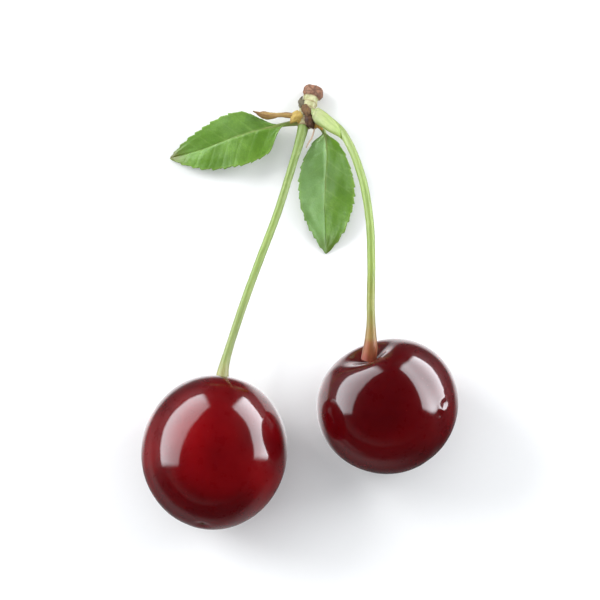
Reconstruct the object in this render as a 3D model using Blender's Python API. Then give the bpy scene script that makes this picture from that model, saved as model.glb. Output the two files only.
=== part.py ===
"""Two sour cherries on their stalks, joined at one spur with two small leaves, lying on a table.

Row frame: metres, +Z up, the table is the plane z = 0. The stalks run along +Y from the fruit to the
spur. The origin is on the table, under the middle of the bunch. Lengths below are in millimetres, and
point() and the mesh helpers turn them into metres.
"""

import math

import bmesh
import bpy
from mathutils import Matrix, Vector

MM = 0.001

# Driving dimensions, in millimetres
FRUIT_SEGMENTS = 40
FRUIT_RINGS = 24
CONTACT_SINK = 0.25  # how far the soft skin flattens where it lies on the table
SUTURE_DEPTH = 0.22  # the shallow seam down one side
SUTURE_WIDTH = 0.16  # half its width, in radians round the fruit
STALK_RADIUS = 0.52
STALK_FLARE = 1.05  # where it sits in the cavity
STALK_BASE = 0.85  # where it joins the spur
SPUR_RADIUS = 1.25
KNOB_RADIUS = 1.52
KNOB_LENGTH = 2.2
BLADE_THICKNESS = 0.32
GAP = 0.3  # clearance between pieces that meet
BUNCH_SHIFT = (0.15, 0.9, 0.0)  # puts the middle of the whole bunch over the origin

# Each fruit: where its middle stands on the table, which way its stalk end points, its full sizes
# across and along the stalk axis, how full its shoulders are, its hollow's depth and radius, and the
# side that its suture is on.
FRUITS = {
    "cherry_left": {
        "middle": (-12.75, -23.75),
        "axis": (0.15, 0.965, -0.215),
        "across": (21.5, 20.9),
        "along": 23.2,
        "shoulders": 0.015,
        "cavity": (2.3, 2.7),
        "suture": -0.9,
        "colour": (0.22, 0.006, 0.012),
    },
    "cherry_right": {
        "middle": (12.95, -16.85),
        "axis": (-0.345, 0.82, 0.457),
        "across": (21.1, 20.4),
        "along": 20.0,
        "shoulders": 0.05,
        "cavity": (2.4, 3.2),
        "suture": 2.2,
        "colour": (0.15, 0.005, 0.011),
    },
}

# Stalk routes from the cavity to the spur
STALK_LEFT = [
    (-11.5, -14.15, 8.25),
    (-11.6, -11.75, 8.05),
    (-10.92, -8.64, 7.6),
    (-8.61, -1.23, 6.9),
    (-6.3, 5.41, 6.2),
    (-3.68, 12.64, 5.3),
    (-1.65, 19.31, 4.4),
    (-0.18, 24.43, 3.55),
    (0.42, 26.95, 2.95),
]
STALK_RIGHT = [
    (10.15, -10.05, 13.75),
    (10.3, -7.9, 14.5),
    (10.36, -4.9, 14.75),
    (10.33, -2.0, 14.6),
    (10.43, 4.05, 13.7),
    (10.26, 10.24, 12.1),
    (9.42, 16.5, 9.9),
    (8.0, 21.6, 7.7),
    (6.58, 24.8, 6.1),
    (5.53, 26.25, 5.2),
    (3.99, 27.65, 4.25),
    (2.75, 28.4, 3.6),
]
SPUR = [(0.62, 27.35, 2.8), (0.8, 28.6, 2.6), (1.1, 29.75, 2.25), (1.4, 30.8, 1.9)]
KNOB_FOOT = (1.5, 31.1)  # where its axis starts, on the table's plane
KNOB_AXIS = (0.28, 0.96, 0.0)

# Leaves: midrib points from the petiole's foot to the tip, the petiole's share of that length, and then,
# for the side to the left and the side to the right of someone who walks to the tip, the widest half
# width, where along the blade it is, and how far that side folds up from the midrib.
LEAVES = {
    "leaf_left": {
        "midrib": [
            (-1.75, 27.1, 2.35),
            (-2.6, 27.1, 2.5),
            (-5.3, 26.45, 2.75),
            (-8.0, 25.75, 2.85),
            (-10.7, 24.95, 2.65),
            (-14.7, 23.5, 1.9),
            (-19.4, 22.55, 0.3),
        ],
        "petiole": 0.09,
        "half_widths": (4.6, 3.55),
        "widest": (0.4, 0.42),
        "fold": (math.radians(10), math.radians(14)),
        "arch": 0.5,
    },
    "leaf_right": {
        "midrib": [
            (3.2, 26.5, 1.85),
            (3.57, 24.9, 1.8),
            (3.68, 22.16, 1.55),
            (3.4, 18.9, 1.15),
            (3.26, 14.75, 0.75),
            (3.47, 11.56, 0.45),
            (3.75, 7.95, 0.2),
        ],
        "petiole": 0.07,
        "half_widths": (4.75, 4.1),
        "widest": (0.52, 0.44),
        "fold": (math.radians(22), math.radians(17)),
        "arch": 0.35,
    },
}
TEETH = 11  # on each margin
TOOTH = 0.035  # how far a tooth stands out, as a share of the half width

# Thin dry pieces round the spur: midrib from foot to tip, half width, how far the sides curl, thickness
SCALES = {
    "bract_dry": {
        "midrib": [
            (-2.1, 28.6, 3.75),
            (-3.2, 28.4, 4.0),
            (-4.9, 28.3, 4.25),
            (-6.2, 28.55, 4.5),
            (-7.1, 28.9, 4.85),
        ],
        "half_width": 0.58,
        "curl": 0.5,
        "thickness": 0.28,
        "colour": (0.42, 0.27, 0.08),
    },
    "scale_papery": {
        "midrib": [(-0.45, 28.75, 4.3), (-0.95, 28.05, 4.2), (-1.4, 27.2, 3.85), (-1.6, 26.7, 3.55)],
        "half_width": 0.85,
        "curl": 0.7,
        "thickness": 0.28,
        "colour": (0.6, 0.47, 0.16),
    },
    "scale_brown": {
        "midrib": [(0.8, 30.2, 3.85), (0.85, 29.7, 4.05), (0.95, 29.1, 4.2), (1.1, 28.5, 4.25)],
        "half_width": 0.68,
        "curl": 0.6,
        "thickness": 0.35,
        "colour": (0.16, 0.085, 0.02),
    },
    "scale_dark": {
        "midrib": [(1.2, 28.15, 4.25), (1.4, 27.6, 4.25), (1.65, 27.0, 4.05), (1.85, 26.5, 3.8)],
        "half_width": 0.78,
        "curl": 0.6,
        "thickness": 0.4,
        "colour": (0.05, 0.02, 0.008),
    },
    "scale_amber": {
        "midrib": [(2.45, 27.55, 2.8), (2.6, 27.2, 2.85), (2.75, 26.8, 2.75), (2.85, 26.5, 2.6)],
        "half_width": 0.45,
        "curl": 0.5,
        "thickness": 0.3,
        "colour": (0.5, 0.25, 0.03),
    },
    "scale_grey": {
        "midrib": [(-0.2, 29.8, 3.45), (-0.2, 30.3, 3.3), (-0.15, 30.8, 3.1), (-0.05, 31.2, 2.85)],
        "half_width": 0.4,
        "curl": 0.4,
        "thickness": 0.28,
        "colour": (0.12, 0.11, 0.07),
    },
}
STIPULE = [(2.0, 26.35, 3.25), (1.68, 25.1, 3.45), (1.2, 24.3, 3.5), (0.8, 23.5, 3.45)]
STIPULE_RADIUS = 0.17

# The green bract clasps the right stalk: its span back from the spur, its wall, half of what it wraps
# round the stalk, and how its middle turns from the stalk's top to its inner side towards the tip
SHEATH_SPAN = (0.5, 6.3)
SHEATH_WALL = 0.3
SHEATH_ARC = math.radians(82)
SHEATH_TURN = (math.radians(38), math.radians(84))
SHEATH_SWELL = 0.45  # how far its belly stands off the stalk


def point(values):
    """A place given in millimetres, as a vector in metres."""
    return Vector(values) * MM


def smooth_path(points, steps):
    """Points evenly placed on a smooth curve through the given ones (Catmull-Rom), in metres."""
    route = [point(p) for p in points]
    route = [2 * route[0] - route[1]] + route + [2 * route[-1] - route[-2]]
    dense = []
    for before, a, b, after in zip(route, route[1:], route[2:], route[3:]):
        for k in range(12):
            t = k / 12
            dense.append(
                0.5
                * (
                    2 * a
                    + (b - before) * t
                    + (2 * before - 5 * a + 4 * b - after) * t * t
                    + (3 * a - before - 3 * b + after) * t**3
                )
            )
    dense.append(route[-2])
    lengths = [0.0]
    for a, b in zip(dense, dense[1:]):
        lengths.append(lengths[-1] + (b - a).length)
    path, k = [], 0
    for n in range(steps + 1):
        target = lengths[-1] * n / steps
        while k < len(dense) - 2 and lengths[k + 1] < target:
            k += 1
        share = (target - lengths[k]) / (lengths[k + 1] - lengths[k])
        path.append(dense[k].lerp(dense[k + 1], min(share, 1.0)))
    return path


def tangents(path):
    """The direction of travel at each point of a path."""
    ends = [path[0]] + path + [path[-1]]
    return [(after - before).normalized() for before, after in zip(ends, ends[2:])]


def material(name, colour, roughness):
    """A plain surface of one colour."""
    made = bpy.data.materials.new(name)
    made.use_nodes = True
    shader = made.node_tree.nodes["Principled BSDF"]
    shader.inputs["Base Color"].default_value = (*colour, 1.0)
    shader.inputs["Roughness"].default_value = roughness
    shader.inputs["Metallic"].default_value = 0.0
    return made


def add_object(name, data, surface, place=None):
    """Links an object to the scene with its material, under the bunch's empty."""
    piece = bpy.data.objects.new(name, data)
    piece.data.materials.append(surface)
    bpy.context.scene.collection.objects.link(piece)
    piece.parent = bpy.data.objects["bunch"]
    if place is not None:
        piece.matrix_local = place
    return piece


def mesh_of(name, body, smooth_angle=math.radians(50)):
    """A finished mesh from a bmesh, with faces turned outwards and round parts shaded smooth."""
    bmesh.ops.recalc_face_normals(body, faces=body.faces)
    mesh = bpy.data.meshes.new(name)
    body.to_mesh(mesh)
    body.free()
    mesh.shade_smooth()
    mesh.set_sharp_from_angle(angle=smooth_angle)
    return mesh


def fruit_point(fruit, down, round_it):
    """A point on the skin, in metres, with +Z through the stalk end.

    down runs from 0 at the stalk end to pi at the blossom end, round_it is the angle round the fruit.
    """
    wide, thick = (side / 2 for side in fruit["across"])
    girth = math.sin(down) * (1 + fruit["shoulders"] * math.cos(down))
    seam = math.atan2(math.sin(round_it - fruit["suture"]), math.cos(round_it - fruit["suture"]))
    groove = SUTURE_DEPTH * math.exp(-((seam / SUTURE_WIDTH) ** 2)) * math.sin(down)
    x = wide * girth * math.cos(round_it)
    y = thick * girth * math.sin(round_it)
    away = math.hypot(x, y)
    shrink = 1 - groove / max(away, 1.0)
    depth, radius = fruit["cavity"]
    hollow = depth * math.exp(-((away / radius) ** 2)) if down < math.pi / 2 else 0.0
    z = fruit["along"] / 2 * math.cos(down) - hollow
    return Vector((x * shrink, y * shrink, z)) * MM


def fruit_body(fruit):
    """The whole skin as rings of points, closed at both ends."""
    body = bmesh.new()
    rings = []
    for ring in range(1, FRUIT_RINGS):
        down = math.pi * ring / FRUIT_RINGS
        turn = [2 * math.pi * k / FRUIT_SEGMENTS for k in range(FRUIT_SEGMENTS)]
        rings.append([body.verts.new(fruit_point(fruit, down, angle)) for angle in turn])
    for upper, lower in zip(rings, rings[1:]):
        bmesh.ops.bridge_loops(body, edges=ring_edges(body, upper) + ring_edges(body, lower))
    for ring, down in ((rings[0], 0.0), (rings[-1], math.pi)):
        pole = body.verts.new(fruit_point(fruit, down, 0.0))
        for a, b in zip(ring, ring[1:] + ring[:1]):
            body.faces.new((a, b, pole))
    return body


def ring_edges(body, ring):
    """The edges round a closed ring of vertices, made where they are missing."""
    pairs = zip(ring, ring[1:] + ring[:1])
    return [body.edges.get(pair) or body.edges.new(pair) for pair in pairs]


def add_fruit(name):
    """One cherry, turned to its stalk's direction, settled on the table and flattened where it lies."""
    fruit = FRUITS[name]
    body = fruit_body(fruit)
    turn = Vector(fruit["axis"]).to_track_quat("Z", "Y").to_matrix().to_4x4()
    lowest = min((turn @ vert.co).z for vert in body.verts)
    x, y = fruit["middle"]
    place = Matrix.Translation(Vector((x * MM, y * MM, -lowest - CONTACT_SINK * MM))) @ turn
    inverse = place.inverted()
    cut = bmesh.ops.bisect_plane(
        body,
        geom=body.verts[:] + body.edges[:] + body.faces[:],
        plane_co=inverse @ Vector((0, 0, 0)),
        plane_no=inverse.to_3x3() @ Vector((0, 0, 1)),
        clear_inner=True,
    )
    rim = [part for part in cut["geom_cut"] if isinstance(part, bmesh.types.BMEdge)]
    bmesh.ops.edgenet_fill(body, edges=rim)
    skin = material(name + "_skin", fruit["colour"], 0.12)
    add_object(name, mesh_of(name, body), skin, place)


def add_tube(name, points, radii, steps, surface):
    """A round stem along a route. Its radius goes through radii, which are (share of length, mm)."""
    path = smooth_path(points, steps)
    curve = bpy.data.curves.new(name, "CURVE")
    curve.dimensions = "3D"
    curve.bevel_depth = MM
    curve.bevel_resolution = 2
    curve.use_fill_caps = True
    spline = curve.splines.new("POLY")
    spline.points.add(len(path) - 1)
    for k, (spot, place) in enumerate(zip(spline.points, path)):
        spot.co = (*place, 1.0)
        spot.radius = radius_at(radii, k / steps)
    return add_object(name, curve, surface)


def radius_at(radii, share):
    """The radius at a share of the length, eased between the stated ones."""
    for (start, first), (end, second) in zip(radii, radii[1:]):
        if share <= end:
            ease = (share - start) / (end - start)
            return first + (second - first) * ease * ease * (3 - 2 * ease)
    return radii[-1][1]


def add_knob(surface):
    """The corky end where the spur broke from the branch: a turned cap with a slightly hollow face."""
    profile = [
        (0.0, 0.0),
        (0.8, 0.0),
        (1.22, 0.25),
        (KNOB_RADIUS, 0.85),
        (KNOB_RADIUS * 0.97, 1.45),
        (1.1, 2.0),
        (0.55, KNOB_LENGTH),
        (0.0, KNOB_LENGTH - 0.12),
    ]
    body = bmesh.new()
    chain = [body.verts.new((r * MM, 0.0, h * MM)) for r, h in profile]
    edges = [body.edges.new(pair) for pair in zip(chain, chain[1:])]
    bmesh.ops.spin(
        body, geom=chain + edges, axis=(0, 0, 1), cent=(0, 0, 0), angle=2 * math.pi, steps=18
    )
    bmesh.ops.remove_doubles(body, verts=body.verts, dist=0.00001)
    turn = Vector(KNOB_AXIS).to_track_quat("Z", "Y").to_matrix().to_4x4()
    lowest = min((turn @ vert.co).z for vert in body.verts)
    x, y = KNOB_FOOT
    place = Matrix.Translation(Vector((x * MM, y * MM, -lowest))) @ turn
    add_object("spur_knob", mesh_of("spur_knob", body), surface, place)


def leaf_half_width(share, petiole, widest):
    """An ovate, pointed blade's half width along the midrib, as a share of its widest."""
    if share <= petiole:
        return 0.0
    along = (share - petiole) / (1 - petiole)
    return math.sin(math.pi * along ** (math.log(0.5) / math.log(widest))) ** 0.8


def sheet(path, sides, width_left, width_right, rise):
    """An open sheet lofted along a path, closed to a point at its tip.

    sides are the across shares from -1 to 1. width_left and width_right give the half widths at a
    share of the length, and rise gives the height above the midrib at (across share, half width).
    """
    body = bmesh.new()
    heading = tangents(path)
    rows = []
    last = len(path) - 1
    for k in range(last):
        share = k / last
        sideways = heading[k].cross(Vector((0, 0, 1))).normalized()
        upwards = sideways.cross(heading[k]).normalized()
        row = []
        for across in sides:
            half = (width_right if across > 0 else width_left)(share)
            lift = rise(across, half)
            row.append(body.verts.new(path[k] + (sideways * across * half + upwards * lift) * MM))
        rows.append(row)
    tip = body.verts.new(path[last])
    for near, far in zip(rows, rows[1:]):
        for a, b, c, d in zip(near, near[1:], far[1:], far):
            body.faces.new((a, b, c, d))
    for a, b in zip(rows[-1], rows[-1][1:]):
        body.faces.new((a, b, tip))
    return body


def thicken(piece, thickness):
    """Gives a sheet its wall, half to each side."""
    wall = piece.modifiers.new("wall", "SOLIDIFY")
    wall.thickness = thickness * MM
    wall.offset = 0.0
    wall.use_even_offset = False


def add_leaf(name, surface):
    """A leaf with its petiole: two halves that fold up from the midrib and arch over to a toothed margin."""
    leaf = LEAVES[name]
    rows = 2 * TEETH + 2
    stem = 0.42  # half the petiole's width

    def width(side):
        def half_width(share):
            blade = leaf_half_width(share, leaf["petiole"], leaf["widest"][side])
            tooth = 1 + TOOTH * (1 if round(share * rows) % 2 else -1)
            return max(stem * (1 - 0.8 * share), leaf["half_widths"][side] * blade * tooth)

        return half_width

    def rise(across, half):
        out = abs(across) * half
        fold = leaf["fold"][1 if across > 0 else 0]
        return out * math.tan(fold) - leaf["arch"] * (out / max(leaf["half_widths"])) ** 2

    path = smooth_path(leaf["midrib"], rows)
    body = sheet(path, [-1.0, -0.66, -0.33, 0.0, 0.33, 0.66, 1.0], width(0), width(1), rise)
    thicken(add_object(name, mesh_of(name, body), surface), BLADE_THICKNESS)


def add_scale(name):
    """A small dry scale or bract, hollow underneath and rounded at its foot."""
    scale = SCALES[name]

    def width(share):
        return scale["half_width"] * (0.45 + 0.55 * math.sin(math.pi * min(1.0, 0.12 + 0.9 * share)))

    def rise(across, half):
        return -scale["curl"] * (across * half) ** 2 / max(scale["half_width"], 0.1)

    path = smooth_path(scale["midrib"], 8)
    body = sheet(path, [-1.0, -0.5, 0.0, 0.5, 1.0], width, width, rise)
    surface = material(name + "_surface", scale["colour"], 0.7)
    thicken(add_object(name, mesh_of(name, body), surface), scale["thickness"])


def add_sheath(surface):
    """The green bract that clasps the right stalk where it leaves the spur, down to a blunt point."""
    path = smooth_path(list(reversed(STALK_RIGHT)), 60)
    spacing = (path[1] - path[0]).length / MM
    first, last = (round(end / spacing) for end in SHEATH_SPAN)
    heading = tangents(path)
    body = bmesh.new()
    rows = []
    for k in range(first, last + 1):
        share = (k - first) / (last - first)
        sideways = heading[k].cross(Vector((0, 0, 1))).normalized()
        upwards = sideways.cross(heading[k]).normalized()
        close = radius_at(stalk_radii(), 1 - k / 60) + GAP + SHEATH_WALL / 2
        arc = SHEATH_ARC * math.sqrt(1 - 0.97 * share**2.5)
        middle = SHEATH_TURN[0] + (SHEATH_TURN[1] - SHEATH_TURN[0]) * share
        row = []
        for turn in range(-4, 5):
            angle = middle + arc * turn / 4
            belly = SHEATH_SWELL * math.sin(math.pi * share**0.8) * max(0.0, math.sin(angle))
            outward = upwards * math.cos(angle) + sideways * math.sin(angle)
            row.append(body.verts.new(path[k] + outward * (close + belly) * MM))
        rows.append(row)
    for near, far in zip(rows, rows[1:]):
        for a, b, c, d in zip(near, near[1:], far[1:], far):
            body.faces.new((a, b, c, d))
    thicken(add_object("bract_green", mesh_of("bract_green", body), surface), SHEATH_WALL)


def stalk_radii():
    """A stalk's radius from the fruit to the spur."""
    return [
        (0.0, STALK_FLARE),
        (0.065, STALK_RADIUS * 1.22),
        (0.25, STALK_RADIUS),
        (0.8, STALK_RADIUS * 1.04),
        (0.93, STALK_RADIUS * 1.3),
        (1.0, STALK_BASE),
    ]


def main():
    for old in list(bpy.data.objects):
        bpy.data.objects.remove(old)
    bunch = bpy.data.objects.new("bunch", None)
    bunch.location = point(BUNCH_SHIFT)
    bpy.context.scene.collection.objects.link(bunch)

    green = material("stalk_green", (0.42, 0.55, 0.2), 0.45)
    pale = material("spur_pale", (0.55, 0.6, 0.3), 0.5)
    bark = material("bark_brown", (0.25, 0.11, 0.06), 0.8)
    blade = material("leaf_green", (0.12, 0.24, 0.04), 0.45)
    bract = material("bract_green", (0.5, 0.62, 0.22), 0.5)
    blush = material("stipule_pink", (0.62, 0.4, 0.3), 0.6)

    for name in FRUITS:
        add_fruit(name)
    add_tube("stalk_left", STALK_LEFT, stalk_radii(), 28, green)
    add_tube("stalk_right", STALK_RIGHT, stalk_radii(), 32, green)
    add_tube("spur", SPUR, [(0.0, SPUR_RADIUS * 0.85), (0.3, SPUR_RADIUS), (1.0, SPUR_RADIUS)], 6, pale)
    add_knob(bark)
    for name in LEAVES:
        add_leaf(name, blade)
    add_sheath(bract)
    for name in SCALES:
        add_scale(name)
    add_tube("stipule", STIPULE, [(0.0, STIPULE_RADIUS), (1.0, STIPULE_RADIUS)], 6, blush)


main()
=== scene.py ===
"""Sour cherries on their green stalks, joined at a short woody spur with small toothed leaves.

Laid out as a Blender add-on and run as a script. Every length is in metres unless a name or a comment says
millimetres. The bunch lies on the table, z = 0, with its stalks along +Y and its spur at the far end.
"""

import math

import bmesh
import bpy
import numpy as np
from bpy.props import FloatProperty, FloatVectorProperty, IntProperty, PointerProperty
from mathutils import Matrix, Vector, noise


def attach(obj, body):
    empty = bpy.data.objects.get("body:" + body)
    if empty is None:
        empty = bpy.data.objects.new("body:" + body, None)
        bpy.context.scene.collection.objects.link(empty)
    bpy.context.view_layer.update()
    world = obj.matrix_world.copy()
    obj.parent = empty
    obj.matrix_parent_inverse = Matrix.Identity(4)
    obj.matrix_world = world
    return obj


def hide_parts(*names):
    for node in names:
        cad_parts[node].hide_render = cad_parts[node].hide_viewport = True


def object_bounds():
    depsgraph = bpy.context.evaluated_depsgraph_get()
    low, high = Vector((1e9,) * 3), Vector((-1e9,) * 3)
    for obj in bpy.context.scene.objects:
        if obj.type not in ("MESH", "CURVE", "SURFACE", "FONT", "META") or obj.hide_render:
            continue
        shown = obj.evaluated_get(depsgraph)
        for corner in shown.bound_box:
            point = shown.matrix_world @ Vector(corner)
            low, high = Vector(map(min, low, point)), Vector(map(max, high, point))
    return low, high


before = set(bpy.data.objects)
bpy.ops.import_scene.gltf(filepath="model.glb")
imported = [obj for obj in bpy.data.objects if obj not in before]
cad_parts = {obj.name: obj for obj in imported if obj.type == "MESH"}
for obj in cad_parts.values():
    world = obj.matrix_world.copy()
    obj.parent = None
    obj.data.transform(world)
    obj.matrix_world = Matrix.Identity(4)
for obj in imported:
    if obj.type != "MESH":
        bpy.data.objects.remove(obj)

bl_info = {
    "name": "Cherries on Stalks",
    "version": (1, 0, 0),
    "blender": (4, 5, 0),
    "location": "3D View > Sidebar > Cherries",
    "description": "Builds sour cherries on their stalks, with leaves, spur and bud scales",
    "category": "Add Mesh",
}

CAD_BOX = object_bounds()
MM = 0.001
TURN = 2 * math.pi
BODY = "root"
BUNCH_SHIFT_MM = (0.15, 0.9, 0.0)
FRUIT_SINK_MM = 0.25
SCAR_SINK_MM = 0.32
# Steps along a blade's path and the green bract's
FINE_STEPS = 400

# Sizes are in millimetres. The hollow is (depth, radius). The suture is an angle round the fruit. Dents are
# (angle round the fruit, angle down from the stalk end, width, depth). All angles are in radians.
FRUITS = {
    "cherry_left": {
        "slot": "skin_red",
        "middle": (-12.75, -23.75),
        "axis": (0.15, 0.965, -0.215),
        "across": (21.5, 20.9),
        "along": 23.2,
        "shoulders": 0.015,
        "hollow": (2.3, 2.7),
        "suture": -0.9,
        "dents": [(1.9, 2.25, 2.2, 0.10), (-2.2, 1.5, 2.0, 0.12)],
        "grain": 3.1,
        "brightness": 1.0,
    },
    "cherry_right": {
        "slot": "skin_dark",
        "middle": (12.95, -16.85),
        "axis": (-0.345, 0.82, 0.457),
        "across": (21.1, 20.4),
        "along": 20.0,
        "shoulders": 0.05,
        "hollow": (2.4, 3.2),
        "suture": 2.2,
        "dents": [
            (2.34, 1.61, 0.75, 0.13), (2.21, 1.72, 0.6, 0.10),
            (2.5, 1.5, 0.55, 0.08), (-2.5, 1.4, 1.8, 0.10),
        ],
        "grain": 8.7,
        "brightness": 0.3,
    },
}
# Profiles are (radius, height) in millimetres, to be turned about the upright axis
SCAR_PROFILE = [
    (0.0, -0.16), (0.1, -0.15), (0.2, -0.03), (0.34, -0.1), (0.46, -0.02), (0.5, 0.2), (0.0, 0.25),
]
SCAR_BROWNS = ((0.10, 0.035, 0.014), (0.035, 0.011, 0.006))

# Routes in millimetres, from the fruit's hollow into the spur
STALKS = {
    "stalk_left": [
        (-11.4, -14.6, 8.3), (-11.5, -13.4, 8.2), (-11.6, -11.75, 8.05), (-10.92, -8.64, 7.6),
        (-8.61, -1.23, 6.9), (-6.3, 5.41, 6.2), (-3.68, 12.64, 5.3), (-1.65, 19.31, 4.4),
        (-0.18, 24.43, 3.55), (0.42, 26.95, 2.95), (0.62, 27.7, 2.75),
    ],
    "stalk_right": [
        (10.02, -10.4, 13.5), (10.2, -9.2, 14.1), (10.3, -7.9, 14.5), (10.36, -4.9, 14.75),
        (10.33, -2.0, 14.6), (10.43, 4.05, 13.7), (10.26, 10.24, 12.1), (9.42, 16.5, 9.9),
        (8.0, 21.6, 7.7), (6.58, 24.8, 6.1), (5.53, 26.25, 5.2), (3.99, 27.65, 4.25),
        (2.75, 28.4, 3.6), (1.6, 28.9, 3.0),
    ],
}
STALK_GREENS = {
    "stalk_left": [
        (0.0, (0.24, 0.13, 0.05)),
        (0.05, (0.34, 0.31, 0.12)),
        (0.13, (0.27, 0.33, 0.105)),
        (0.5, "green"),
        (0.86, (0.205, 0.29, 0.065)),
        (1.0, (0.165, 0.235, 0.05)),
    ],
    "stalk_right": [
        (0.0, "blush"),
        (0.045, (0.29, 0.085, 0.03)),
        (0.085, (0.28, 0.165, 0.04)),
        (0.16, (0.225, 0.215, 0.035)),
        (0.34, (0.225, 0.31, 0.047)),
        (0.66, "green"),
        (0.9, (0.33, 0.41, 0.145)),
        (1.0, (0.33, 0.39, 0.16)),
    ],
}
PETIOLE_GREENS = [(0.0, (0.26, 0.25, 0.08)), (0.12, (0.22, 0.28, 0.07)), (1.0, (0.24, 0.34, 0.105))]
SHEATH_GREENS = [(0.0, (0.42, 0.46, 0.22)), (0.4, (0.37, 0.45, 0.155)), (1.0, (0.29, 0.40, 0.075))]

# In millimetres
SPUR_ROUTE = [(0.5, 26.9, 2.9), (0.62, 27.5, 2.78), (0.8, 28.6, 2.6), (1.1, 29.9, 2.25), (1.55, 31.6, 1.85)]
KNOB_COLLAR = [(0.0, -0.35), (0.85, -0.35), (0.98, -0.1), (1.12, 0.12), (1.32, 0.3)]
KNOB_FACE = [
    (1.36, 1.62), (1.16, 1.86), (1.02, 1.94), (0.9, 1.86), (0.72, 1.95),
    (0.56, 2.0), (0.42, 1.9), (0.25, 2.0), (0.0, 2.02),
]
KNOB_FOOT = (1.6, 31.5)
KNOB_AXIS = (0.28, 0.96, 0.0)
STIPULE_ROUTE = [
    (1.7, 26.75, 3.15), (2.0, 26.35, 3.25), (1.68, 25.1, 3.45), (1.2, 24.3, 3.5), (0.8, 23.5, 3.45),
]
STIPULE_PINKS = ((0.62, 0.45, 0.37), (0.50, 0.36, 0.25))

# The stem tree's inputs, in metres and as shares of a stem's length
STALK_SIZES = {
    "Flare Length": 0.085,
    "Foot Length": 0.09,
    "Unevenness": 0.00009,
    "Steps": 260,
    "Sides": 28,
}
SPUR_SIZES = {
    "Flare": 0.8,
    "Flare Length": 0.2,
    "Foot": 0.95,
    "Foot Length": 0.2,
    "Ring Height": 0.07,
    "Unevenness": 0.00022,
    "Steps": 90,
    "Sides": 40,
}
MIDRIB_SIZES = {
    "Radius": 0.00022,
    "Flare": 2.2,
    "Flare Length": 0.16,
    "Foot": 0.35,
    "Foot Length": 0.5,
    "Unevenness": 0.00005,
    "Steps": 120,
    "Sides": 16,
}
STIPULE_SIZES = {
    "Radius": 0.00013,
    "Flare": 1.6,
    "Flare Length": 0.1,
    "Foot": 0.6,
    "Foot Length": 0.2,
    "Unevenness": 0.00004,
    "Steps": 50,
    "Sides": 12,
}
CORK_GRAINS = {"Density": 6.0e6, "Smallest": 0.00005, "Largest": 0.00013, "Seed": 7}
SCALE_WALL = 0.00015
GREEN_BRACT_WALL = 0.00016

# Pairs are (right of the way to the tip, left of it). Widths and heights are in millimetres, folds in
# degrees, and places along the blade are shares of its length.
# One share in each leaf sets how strongly a painted sheen lightens one half of its blade
LEAVES = {
    "leaf_left": {
        "midrib": [
            (0.3, 27.8, 2.5), (-0.9, 27.6, 2.45), (-2.4, 27.35, 2.55), (-5.1, 26.75, 2.75),
            (-8.0, 25.95, 2.85), (-10.7, 25.1, 2.65), (-14.9, 23.6, 1.9), (-19.75, 22.6, 0.3),
        ],
        "petiole": 0.11,
        "half_widths": (4.6, 3.55),
        "widest": (0.4, 0.44),
        "taper": (0.2, 0.36),
        "tip_brown": 0.75,
        "pale_half": 0.15,
        "fold": (10.0, 14.0),
        "arch": 0.5,
        "wave": 0.8,
    },
    "leaf_right": {
        "midrib": [
            (1.25, 28.3, 2.5), (1.8, 28.0, 2.3), (2.4, 27.6, 2.1), (3.25, 26.8, 1.95), (3.75, 25.5, 1.85),
            (3.95, 22.7, 1.6), (3.75, 19.2, 1.2), (3.6, 14.9, 0.8), (3.75, 11.56, 0.45), (3.85, 7.95, 0.2),
        ],
        "petiole": 0.125,
        "half_widths": (4.5, 4.05),
        "widest": (0.52, 0.44),
        "taper": (0.12, 0.1),
        "tip_brown": 0.3,
        "pale_half": 0.75,
        "fold": (22.0, 17.0),
        "arch": 0.35,
        "wave": 2.6,
    },
}

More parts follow.
